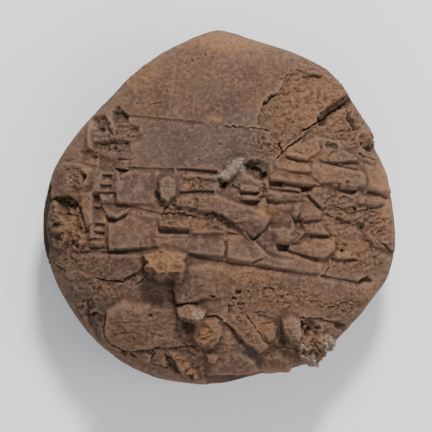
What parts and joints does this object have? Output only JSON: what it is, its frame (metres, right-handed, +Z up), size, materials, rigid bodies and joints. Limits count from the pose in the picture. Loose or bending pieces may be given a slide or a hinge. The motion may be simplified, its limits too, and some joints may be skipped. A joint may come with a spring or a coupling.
{
  "type": "cuneiform tablet",
  "caption": "Round lens-shaped clay tablet lying on its back, ruled across and covered with worn wedge strokes, with a cracked, flaked face and mineral crust.",
  "frame": {"origin": "centre of the flat resting spot under the back, on the surface it lies on", "axes": "+Z up, out of the written face; +Y towards the top edge of the writing; +X towards the right-hand end of the ruled lines"},
  "size_m": [0.0841, 0.0839, 0.0294],
  "materials": {
    "clay": "matte"
  },
  "bodies": {
    "root": {"tablet": "clay"}
  },
  "joints": []
}
